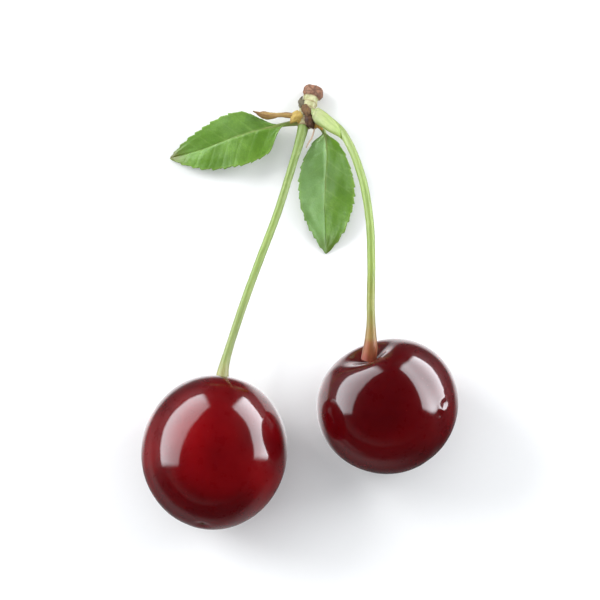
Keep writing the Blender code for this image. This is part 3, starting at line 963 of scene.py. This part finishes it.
def add_stem(name, route, points, tree, sizes, node):
    """A stem along a route, with the stem tree's inputs, as a piece of the bunch."""
    path = smooth_path(route, points)
    start = bpy.data.meshes.new(name + "_path")
    start.from_pydata([tuple(p) for p in path], [(k, k + 1) for k in range(len(path) - 1)], [])
    add_piece(name, grow(name, start, tree, sizes), node)


def places_of(mesh):
    """Every vertex's place, in rows."""
    places = np.empty(len(mesh.vertices) * 3, np.float32)
    mesh.vertices.foreach_get("co", places)
    return places.reshape(-1, 3)


def put_places(mesh, places):
    mesh.vertices.foreach_set("co", places.ravel())
    mesh.update()


def press_down(mesh, softness=0.00012):
    """Lays the lowest skin on the table in a small soft flat."""
    places = places_of(mesh)
    z = places[:, 2]
    places[:, 2] = 0.5 * (z + np.sqrt(z * z + softness**2))
    put_places(mesh, places)


def dent(mesh, fruit):
    """Small soft dimples, as ripe fruit has."""
    half = np.array([*fruit["across"], fruit["along"]]) / 2 * MM
    places = places_of(mesh)
    for turn, down, width, depth in fruit["dents"]:
        out = np.array([math.sin(down) * math.cos(turn), math.sin(down) * math.sin(turn), math.cos(down)])
        away = np.linalg.norm(places - out * half, axis=1) / (width * MM)
        ripple = np.exp(-(away**2)) - 0.35 * np.exp(-((away - 1.3) ** 2) / 0.25)
        places -= (ripple * depth * MM)[:, None] * out[None, :].astype(np.float32)
    put_places(mesh, places)


def mesh_from(name, body):
    """A smooth mesh from a finished body."""
    mesh = bpy.data.meshes.new(name)
    body.to_mesh(mesh)
    body.free()
    mesh.shade_smooth()
    return mesh


def lathe(profile, steps):
    """A closed body turned about the upright axis from (radius, height) in millimetres, pole to pole."""
    body = bmesh.new()
    rings = []
    for radius, height in profile:
        turns = [TURN * k / steps for k in range(steps if radius else 1)]
        places = [(radius * math.cos(turn), radius * math.sin(turn), height) for turn in turns]
        rings.append([body.verts.new(Vector(place) * MM) for place in places])
    for low, high in zip(rings, rings[1:]):
        for k in range(steps):
            corners = [ring[j % len(ring)] for ring, j in ((low, k), (low, k + 1), (high, k + 1), (high, k))]
            # A pole is a ring of one point, which its faces have once
            body.faces.new(list(dict.fromkeys(corners)))
    bmesh.ops.recalc_face_normals(body, faces=body.faces)
    return body


def sheet_mesh(name, sheets):
    """Faces between rows of points, each row a list of (place, values), closed where a row is one point."""
    body = bmesh.new()
    layers = {key: body.verts.layers.float.new(key) for key in ("along", "across", "vein")}
    for rows in sheets:
        grid = []
        for row in rows:
            made = []
            for place, values in row:
                vert = body.verts.new(place)
                for key, value in values.items():
                    vert[layers[key]] = value
                made.append(vert)
            grid.append(made)
        for near, far in zip(grid, grid[1:]):
            if len(far) == 1:
                for a, b in zip(near, near[1:]):
                    body.faces.new((a, b, far[0]))
            else:
                for a, b, c, d in zip(near, near[1:], far[1:], far):
                    body.faces.new((a, b, c, d))
    return mesh_from(name, body)


def columns(half):
    """Places across a sheet, from one margin at -1 to the other at 1."""
    return [j / half for j in range(-half, half + 1)]


def wander(x, y, z):
    """Smooth noise between about -1 and 1."""
    return noise.noise(Vector((x, y, z)))


def give_wall(piece, thickness, under=False):
    """Gives a sheet its thickness, half to each side, with its own underside material if it has one."""
    wall = piece.modifiers.new("wall", "SOLIDIFY")
    wall.thickness = thickness
    wall.offset = 0.0
    wall.use_even_offset = False
    if under:
        wall.material_offset = 1
        wall.material_offset_rim = 0


def outline_share(along, widest):
    """An ovate, pointed blade's half width at a share of its length, as a share of its widest."""
    along = min(max(along, 0.0), 1.0)
    return math.sin(math.pi * along ** (math.log(0.5) / math.log(widest))) ** 0.8 if 0 < along < 1 else 0.0


def tooth_at(along, count):
    """How far out the margin stands, 0 to 1: teeth that lean to the tip, with small ones between."""
    phase = (along * count) % 1.0
    large = (phase / 0.78) ** 0.75 if phase < 0.78 else (1 - phase) / 0.22
    phase = (along * count * 2 + 0.35) % 1.0
    small = phase / 0.8 if phase < 0.8 else (1 - phase) / 0.2
    return 0.8 * large + 0.2 * small


def blade_rows(leaf, settings, rows=220, half_columns=30):
    """The blade from its base to its tip: fold, arch, waves, sunken veins and toothed margins."""
    path = smooth_path(leaf["midrib"], FINE_STEPS)
    ways = directions(path)
    first = round(leaf["petiole"] * FINE_STEPS)
    length = sum((b - a).length for a, b in zip(path[first:], path[first + 1 :])) / MM
    made = []
    for k in range(rows):
        blade = k / rows
        spot = first + blade * (FINE_STEPS - first)
        low = min(int(spot), FINE_STEPS - 1)
        centre = path[low].lerp(path[low + 1], spot - low)
        fixed = (leaf, settings, length, blade, centre, ways[low])
        made.append([blade_point(*fixed, across) for across in columns(half_columns)])
    made.append([(path[-1], {"along": 1.0, "vein": 0.3, "across": 0.0})])
    return made


def blade_point(leaf, settings, length, blade, centre, way, across):
    """One point of a blade, in metres, with what its material reads."""
    ahead, side, up = way
    which = 1 if across > 0 else 0
    reach = abs(across)
    widest = max(leaf["half_widths"])

    # The half width in millimetres, and the teeth, which stray a little from an even spacing
    base = min(1.0, blade / leaf["taper"][which])
    share = outline_share(blade, leaf["widest"][which]) * base * base * (3 - 2 * base)
    half = max(leaf["half_widths"][which] * share, 0.16 * (1 - blade))
    out = reach * half
    depth = settings.tooth_depth / MM * min(1.0, 2.2 * outline_share(blade, 0.5)) * base
    stray = 0.022 * wander(blade * 14.0, which * 5.0, leaf["wave"])
    depth *= 1 + 0.5 * wander(blade * 11.0, which * 3.0 + 2.0, leaf["wave"])
    tooth = tooth_at(blade + 0.03 * which + stray, settings.teeth)
    margin_out = depth * (tooth - 0.62) * reach**6
    margin_on = depth * 0.75 * tooth * reach**7

    # Side veins leave the midrib at a slant and bend towards the tip
    run = blade * length - out * 0.80 * (1 - 0.16 * out / widest)
    gap = length / (settings.veins + 1.6)
    number = run / gap - 0.15 - 0.25 * which
    off = abs(number - round(number)) * gap * 0.78
    shown = 1.0 if -0.4 < number < settings.veins + 0.5 else 0.0
    side_vein = math.exp(-((off / (0.15 - 0.06 * reach)) ** 2)) * shown * (1 - 0.45 * reach)
    rib = math.exp(-((out / (0.34 * (1 - 0.75 * blade))) ** 2))

    # The blade is folded along its midrib, arched, waved, puckered between sunken veins and a little uneven
    lift = out * math.tan(math.radians(leaf["fold"][which])) - leaf["arch"] * (out / widest) ** 2
    lift += 0.22 * reach**2 * math.sin(TURN * (blade * 2.3 + 0.3 * which) + leaf["wave"])
    lift += 0.016 * math.sin(math.pi * min(1.0, off / (0.39 * gap))) * min(1.0, 2 * reach) * shown
    lift -= 0.02 * side_vein + 0.10 * rib
    lift += 0.10 * wander(blade * 9.0, across * 3.0, leaf["wave"])
    place = centre + (side * (out + margin_out) * (2 * which - 1) + up * lift) * MM
    place += ahead * (margin_on * MM)
    place.z = max(place.z, settings.thickness * 0.55)
    return place, {"along": blade, "vein": min(1.0, 0.5 * side_vein + rib), "across": across}


def flake_rows(scale, turn, size, drop, rows=34, half_columns=8):
    """One flake of a dry scale, turned about its foot: curled sides, a twist, a torn edge and tip."""
    path = smooth_path(scale["midrib"], rows)
    ways = directions(path)
    foot = path[0].copy()
    spin = Matrix.Rotation(math.radians(turn), 3, ways[0][2])
    grain = scale["half_width"] * 7 + turn
    made = []
    for k, (centre, (ahead, side, up)) in enumerate(zip(path, ways)):
        share = k / rows
        full = 0.42 + 0.58 * math.sin(math.pi * min(1.0, 0.14 + 0.86 * share)) ** 0.8
        full *= 1 - scale.get("waist", 0.0) * math.exp(-(((share - 0.33) / 0.18) ** 2))
        half = scale["half_width"] * full * min(1.0, scale.get("point", 2.2) * (1 - share) ** 0.75 + 0.04)
        angle = math.radians(scale.get("twist", 0.0)) * (share - 0.3)
        leaned = side * math.cos(angle) + up * math.sin(angle)
        raised = up * math.cos(angle) - side * math.sin(angle)
        row = []
        for across in columns(half_columns):
            edge = 0.30 * wander(share * 6, across * 1.5, grain)
            edge += 0.14 * wander(share * 17, across * 3, grain)
            out = across * half * (1 + edge * min(1.0, 3 * share))
            lift = -scale["curl"] * out**2 / scale["half_width"] - drop
            lift += 0.12 * wander(share * 5, across * 2.5, grain + 4)
            torn = 0.45 * wander(across * 4, grain, 1.0) * max(0.0, share - 0.6)
            place = centre + (leaned * out + raised * lift + ahead * torn) * MM
            place = foot + spin @ (place - foot) * size
            row.append((place, {"along": share, "vein": 0.0, "across": across}))
        made.append(row)
    return made


def sheath_rows(rows=60, half_columns=14):
    """The green bract round the foot of the right stalk, ending in a blunt lobe on its inner side."""
    path = smooth_path(list(reversed(STALKS["stalk_right"])), FINE_STEPS)
    ways = directions(path)
    total = sum((b - a).length for a, b in zip(path, path[1:])) / MM
    foot_mm, end_mm = 0.9, 7.5
    first, last = foot_mm / total * FINE_STEPS, end_mm / total * FINE_STEPS
    made = []
    for k in range(rows + 1):
        share = k / rows
        low = int(first + (last - first) * share)
        _, side, up = ways[low]
        close = 0.60 + 0.32 * math.exp(-((share / 0.3) ** 2)) + 0.12 * (1 - share)
        arc = math.radians(96) * math.sqrt(max(1 - share**4, 0.0)) + math.radians(4)
        middle = math.radians(36 + 50 * share)
        row = []
        for across in columns(half_columns):
            angle = middle + arc * across
            belly = 0.60 * math.sin(math.pi * share**0.9) ** 1.2 * max(0.0, math.sin(angle)) ** 2
            flare = 0.10 * abs(across) ** 6
            out = up * math.cos(angle) + side * math.sin(angle)
            rough = 0.05 * wander(share * 4, across * 2, 4.0)
            place = path[low] + out * (close + belly + flare + rough) * MM
            row.append((place, {"along": share, "vein": 0.0, "across": across}))
        made.append(row)
    return made


def knob_mesh(settings):
    """The corky end, turned about its axis and roughened: a collar, a full cap and a broken, ringed face."""
    full = settings.knob_radius / MM
    widest = [(full * 0.985, 0.62), (full, 0.95), (full * 0.985, 1.3)]
    body = lathe(KNOB_COLLAR + widest + KNOB_FACE, 40)
    bmesh.ops.subdivide_edges(body, edges=body.edges, cuts=1, use_grid_fill=True, smooth=0.6)
    for vert in body.verts:
        spot = vert.co / MM
        rough = 0.10 * noise.noise(spot * 1.1) + 0.07 * noise.noise(spot * 3.1) + 0.03 * noise.noise(spot * 7)
        vert.co += vert.normal * (rough * MM)
    turn = turned_to(KNOB_AXIS)
    lowest = min((turn @ vert.co).z for vert in body.verts)
    body.transform(Matrix.Translation(on_table(KNOB_FOOT, -lowest)) @ turn)
    return mesh_from("corky_knob", body)


# ---------------------------------------------------------------- operators


class CHERRIES_OT_fruit(bpy.types.Operator):
    """Adds both cherries, lying on the table"""

    bl_idname = "cherries.fruit"
    bl_label = "Add Cherries"

    def execute(self, context):
        settings = context.scene.cherry_skin
        tree = fruit_tree()
        for node, fruit in FRUITS.items():
            sizes = {
                "Width": fruit["across"][0] * MM,
                "Depth": fruit["across"][1] * MM,
                "Height": fruit["along"] * MM,
                "Shoulders": fruit["shoulders"],
                "Hollow Depth": fruit["hollow"][0] * MM,
                "Hollow Radius": fruit["hollow"][1] * MM,
                "Seam Side": (math.cos(fruit["suture"]), math.sin(fruit["suture"]), 0.0),
                "Seam Depth": settings.suture_depth,
                "Seam Width": settings.suture_width,
                "Unevenness": settings.unevenness,
                "Grain": fruit["grain"],
                "Segments": settings.segments,
                "Skin": cherry_skin(node + "_skin", settings, fruit["brightness"], fruit["grain"]),
            }
            mesh = grow(node + "_fruit", bpy.data.meshes.new(node + "_start"), tree, sizes)
            dent(mesh, fruit)
            turn = turned_to(fruit["axis"])
            mesh.transform(turn)
            lowest = min(vert.co.z for vert in mesh.vertices)
            place = Matrix.Translation(on_table(fruit["middle"], -lowest - FRUIT_SINK_MM * MM))
            mesh.transform(place)
            press_down(mesh)
            add_piece(node + "_fruit", mesh, node)
            self.add_blossom_scar(node, fruit, place @ turn)
        return {"FINISHED"}

    def add_blossom_scar(self, node, fruit, place):
        """The dry brown point that the flower leaves at the far end from the stalk."""
        body = lathe(SCAR_PROFILE, 20)
        roughness = 0.05
        for vert in body.verts:
            rough = noise.noise(vert.co / MM * 5 + Vector((fruit["grain"], 0, 0)))
            vert.co += vert.normal * (roughness * MM * rough)
        sunk = fruit["along"] / 2 - SCAR_SINK_MM
        body.transform(place @ Matrix.Translation(Vector((0, 0, -sunk * MM))))
        mesh = mesh_from(node + "_blossom_scar", body)
        mesh.materials.append(dry_scale(node + "_scar", SCAR_BROWNS, fruit["grain"], sheet=False))
        add_piece(node + "_blossom_scar", mesh, node)


class CHERRIES_OT_stalks(bpy.types.Operator):
    """Adds both stalks, from the hollow of each fruit to the spur"""

    bl_idname = "cherries.stalks"
    bl_label = "Add Stalks"

    def execute(self, context):
        settings = context.scene.cherry_stalk
        own = {"green": settings.green, "blush": settings.blush}
        tree = stem_tree()
        for number, (node, route) in enumerate(STALKS.items()):
            tones = [(place, own.get(colour, colour)) for place, colour in STALK_GREENS[node]]
            sizes = {"Radius": settings.radius, "Flare": settings.flare, "Foot": settings.foot}
            sizes["Skin"] = stalk_skin(node + "_skin", tones, 2.0 + number * 5)
            add_stem(node + "_stem", route, 120, tree, STALK_SIZES | sizes, node)
        return {"FINISHED"}


class CHERRIES_OT_leaves(bpy.types.Operator):
    """Adds both leaves, each a toothed blade with its petiole and midrib"""

    bl_idname = "cherries.leaves"
    bl_label = "Add Leaves"

    def execute(self, context):
        settings = context.scene.cherry_leaf
        tree = stem_tree()
        below, lowest = 0.16, 0.12
        for number, (node, leaf) in enumerate(LEAVES.items()):
            shift = 4.0 + number * 3
            mesh = sheet_mesh(node + "_blade", [blade_rows(leaf, settings)])
            mesh.materials.append(leaf_upper(node + "_upper", leaf, settings, shift))
            mesh.materials.append(leaf_under(node + "_under", settings, shift))
            give_wall(add_piece(node + "_blade", mesh, node), settings.thickness, under=True)
            lowered = [(x, y, max(z - below, lowest)) for x, y, z in leaf["midrib"]]
            skin = stalk_skin(node + "_petiole", PETIOLE_GREENS, 9.0 + number, 2.0)
            add_stem(node + "_midrib", lowered, 80, tree, MIDRIB_SIZES | {"Skin": skin}, node)
        return {"FINISHED"}


class CHERRIES_OT_spur(bpy.types.Operator):
    """Adds the spur, its corky end and the grains of cork on it"""

    bl_idname = "cherries.spur"
    bl_label = "Add Spur"

    def execute(self, context):
        settings = context.scene.cherry_spur
        bark = corky_bark("cork", settings.bark, 6.0)
        sizes = {"Radius": settings.radius, "Rings": float(settings.rings)}
        sizes["Skin"] = spur_skin("spur_cream", 12.0)
        add_stem("spur_shoot", SPUR_ROUTE, 60, stem_tree(), SPUR_SIZES | sizes, "spur")
        knob = knob_mesh(settings)
        crust = grow("cork_grains", knob.copy(), crust_tree(), CORK_GRAINS | {"Skin": bark})
        press_down(crust, 0.00001)
        knob.materials.append(bark)
        add_piece("corky_knob", knob, "spur_knob")
        add_piece("cork_grains", crust, "spur_knob")
        return {"FINISHED"}


class CHERRIES_OT_scales(bpy.types.Operator):
    """Adds the bud scales, the bracts and the stipule round the spur"""

    bl_idname = "cherries.scales"
    bl_label = "Add Scales and Bracts"

    def execute(self, context):
        for number, (node, scale) in enumerate(SCALES.items()):
            mesh = sheet_mesh(node + "_husk", [flake_rows(scale, *flake) for flake in scale["flakes"]])
            mesh.materials.append(dry_scale(node + "_dry", scale["colours"], 1.0 + number * 2))
            give_wall(add_piece(node + "_husk", mesh, node), SCALE_WALL)
        mesh = sheet_mesh("bract_green_sheath", [sheath_rows()])
        mesh.materials.append(stalk_skin("bract_fresh", SHEATH_GREENS, 15.0, 1.0, sheet=True))
        give_wall(add_piece("bract_green_sheath", mesh, "bract_green"), GREEN_BRACT_WALL)
        sizes = STIPULE_SIZES | {"Skin": dry_scale("stipule_pink", STIPULE_PINKS, 21.0, sheet=False)}
        add_stem("stipule_thread", STIPULE_ROUTE, 40, stem_tree(), sizes, "stipule")
        return {"FINISHED"}


class CHERRIES_OT_stage(bpy.types.Operator):
    """Adds the pale table, the soft lights and the camera"""

    bl_idname = "cherries.stage"
    bl_label = "Add Stage"

    def execute(self, context):
        settings = context.scene.cherry_stage
        self.add_table(context, settings)
        self.add_world(context, settings)
        for softbox in SOFTBOXES:
            self.add_softbox(context, *softbox)
        for name, place, side, share in KEYS:
            self.add_key(context, name, place, side, settings.key * share)
        self.add_camera(context, settings)
        context.scene.view_settings.view_transform = "Standard"
        return {"FINISHED"}

    def add_table(self, context, settings):
        """A wide, plain top, painted dark where the gloss mirrors it, with a glow near each fruit that paints
        rim and sheen reflections on it, weakest in front of the fruit.
        """
        body = bmesh.new()
        bmesh.ops.create_circle(body, cap_ends=True, segments=96, radius=TABLE_RADIUS)
        mesh = mesh_from("table_top", body)
        material, g = material_graph("table_white")
        place = g.place()
        white = g.mix(g.noise(place, 900.0, 3.0), [c * 0.985 for c in settings.table], settings.table)
        # Painted reflections: near each fruit the table glows for glossy rays only, giving the fruit bright
        # rims and a soft sheen arc
        painted_rim_glow = 0.0
        rim_inside, rim_outside, sheen_middle, sheen_width = 0.0155, 0.0225, 0.034, 0.011
        for fruit in FRUITS.values():
            off = g.vector("SUBTRACT", place, on_table(fruit["middle"]) + Vector((0.0, 0.004, 0.0)))
            far = g.vector("LENGTH", off)
            beyond = g.span(g.split(off)[1], -0.008, 0.006, 0.05, 1.0)
            facing = g.vector("DOT_PRODUCT", g.vector("NORMALIZE", off), (-0.76, -0.65, 0.0))
            sheen = g.bell(far - sheen_middle, sheen_width) * g.span(facing, 0.0, 1.0)
            rim = g.span(far, rim_outside, rim_inside) * beyond
            painted_rim_glow = g.math("MAXIMUM", painted_rim_glow, sheen * 0.2 + rim)
        # Glossy rays see the table painted dark apart from that glow
        gloss = g.out("ShaderNodeLightPath", output="Is Glossy Ray")
        g.finish(
            {
                "Base Color": g.mix(gloss, white, PAINTED_DARK_REFLECTION),
                "Emission Color": (1.0, 0.98, 1.0, 1.0),
                "Emission Strength": gloss * painted_rim_glow * 1.5,
                "Roughness": 0.6,
                "Specular IOR Level": 0.06,
            }
        )
        mesh.materials.append(material)
        table = bpy.data.objects.new("table_top", mesh)
        context.scene.collection.objects.link(table)

    def add_world(self, context, settings):
        """Even light on matt surfaces and a pale backdrop, with a dark ceiling in the gloss."""
        world = bpy.data.worlds.new("studio")
        context.scene.world = world
        world.use_nodes = True
        g = Graph(world.node_tree)
        way = g.out("ShaderNodeTexCoord", output="Generated")
        up = g.split(way)[2]
        gloss = g.out("ShaderNodeLightPath", output="Is Glossy Ray")
        front = g.vector("DOT_PRODUCT", way, (-0.75, -0.65, 0.0))
        glow = g.span(front, 0.2, 1.0, 0.05, 0.22) * g.span(up, 0.0, 0.14)
        rim = gloss * g.span(up, 0.45, 0.1, 0.02, 1.0) * glow
        plain = (1.0 - gloss) * settings.ambient
        g.finish({"Color": (0.97, 0.985, 1.0, 1.0), "Strength": rim + plain}, "Background")

    def add_softbox(self, context, name, place, size, radiance, fade):
        """A low, wide softbox that the fruit mirrors, brightest along its lower edge."""
        lamp = self.hang(context, name, place, size, radiance * math.pi * size[0] * size[1])
        lamp.visible_diffuse = False
        lamp.data.color = (0.91, 0.95, 1.0)
        lamp.data.use_nodes = True
        g = Graph(lamp.data.node_tree)
        across, height, _ = g.split(g.out("ShaderNodeNewGeometry", output="Parametric"))
        strength = g.span(height, 0.0, 1.0, 1.0, fade)
        soft_edge = 0.11
        for spot in (across, height):
            strength = strength * g.span(g.math("MINIMUM", spot, 1.0 - spot), 0.0, soft_edge)
        g.finish({"Strength": strength}, "Emission")

    def add_key(self, context, name, place, side, strength):
        """A distant square panel that lights matt surfaces and leaves the gloss to the softboxes."""
        distance = Vector(place).length
        energy = strength * math.pi**2 * distance**2 * distance / place[2]
        self.hang(context, name, place, (side, side), energy).visible_glossy = False

    def hang(self, context, name, place, size, energy):
        """A light in its place, turned to the bunch's middle and out of the camera's sight."""
        light = bpy.data.lights.new(name, "AREA")
        light.shape = "RECTANGLE"
        light.size, light.size_y = size
        light.energy = energy
        lamp = bpy.data.objects.new(name, light)
        lamp.location = place
        aim = Vector(LIGHT_AIM) - Vector(place)
        lamp.rotation_euler = aim.to_track_quat("-Z", "Y").to_euler()
        lamp.visible_camera = False
        context.scene.collection.objects.link(lamp)
        return lamp

    def add_camera(self, context, settings):
        """Looks down on the bunch, which fills the middle of the picture."""
        low, high = (Vector(corner) for corner in CAD_BOX)
        middle = (low + high) / 2
        elevation = settings.elevation
        tall = (high.y - low.y) * math.sin(elevation) + (high.z - low.z) * math.cos(elevation)
        camera = bpy.data.cameras.new("camera")
        camera.lens = settings.lens
        distance = tall / settings.fill * camera.lens / camera.sensor_width
        away = Vector((0, -math.cos(elevation), math.sin(elevation)))
        holder = bpy.data.objects.new("camera", camera)
        holder.location = middle + away * distance
        holder.rotation_euler = (-away).to_track_quat("-Z", "Y").to_euler()
        camera.clip_start = 0.01
        camera.clip_end = 10.0
        context.scene.collection.objects.link(holder)
        context.scene.camera = holder


class CHERRIES_PT_panel(bpy.types.Panel):
    """Lists the bunch's parts and their settings"""

    bl_idname = "CHERRIES_PT_panel"
    bl_label = "Cherries on Stalks"
    bl_space_type = "VIEW_3D"
    bl_region_type = "UI"
    bl_category = "Cherries"

    def draw(self, context):
        for operator, name, _ in PARTS:
            box = self.layout.box()
            box.operator(operator.bl_idname)
            if name:
                settings = getattr(context.scene, name)
                for setting in settings.bl_rna.properties.keys():
                    if setting not in ("rna_type", "name"):
                        box.prop(settings, setting)


PARTS = [
    (CHERRIES_OT_fruit, "cherry_skin", CherrySkinSettings),
    (CHERRIES_OT_stalks, "cherry_stalk", StalkSettings),
    (CHERRIES_OT_leaves, "cherry_leaf", LeafSettings),
    (CHERRIES_OT_spur, "cherry_spur", SpurSettings),
    (CHERRIES_OT_scales, None, None),
    (CHERRIES_OT_stage, "cherry_stage", StageSettings),
]


def register():
    for operator, name, group in PARTS:
        bpy.utils.register_class(operator)
        if name:
            bpy.utils.register_class(group)
            setattr(bpy.types.Scene, name, PointerProperty(type=group))
    bpy.utils.register_class(CHERRIES_PT_panel)


def unregister():
    bpy.utils.unregister_class(CHERRIES_PT_panel)
    for operator, name, group in reversed(PARTS):
        if name:
            delattr(bpy.types.Scene, name)
            bpy.utils.unregister_class(group)
        bpy.utils.unregister_class(operator)


def main():
    register()
    bpy.ops.cherries.fruit()
    bpy.ops.cherries.stalks()
    bpy.ops.cherries.leaves()
    bpy.ops.cherries.spur()
    bpy.ops.cherries.scales()
    bpy.ops.cherries.stage()


if __name__ == "__main__":
    main()
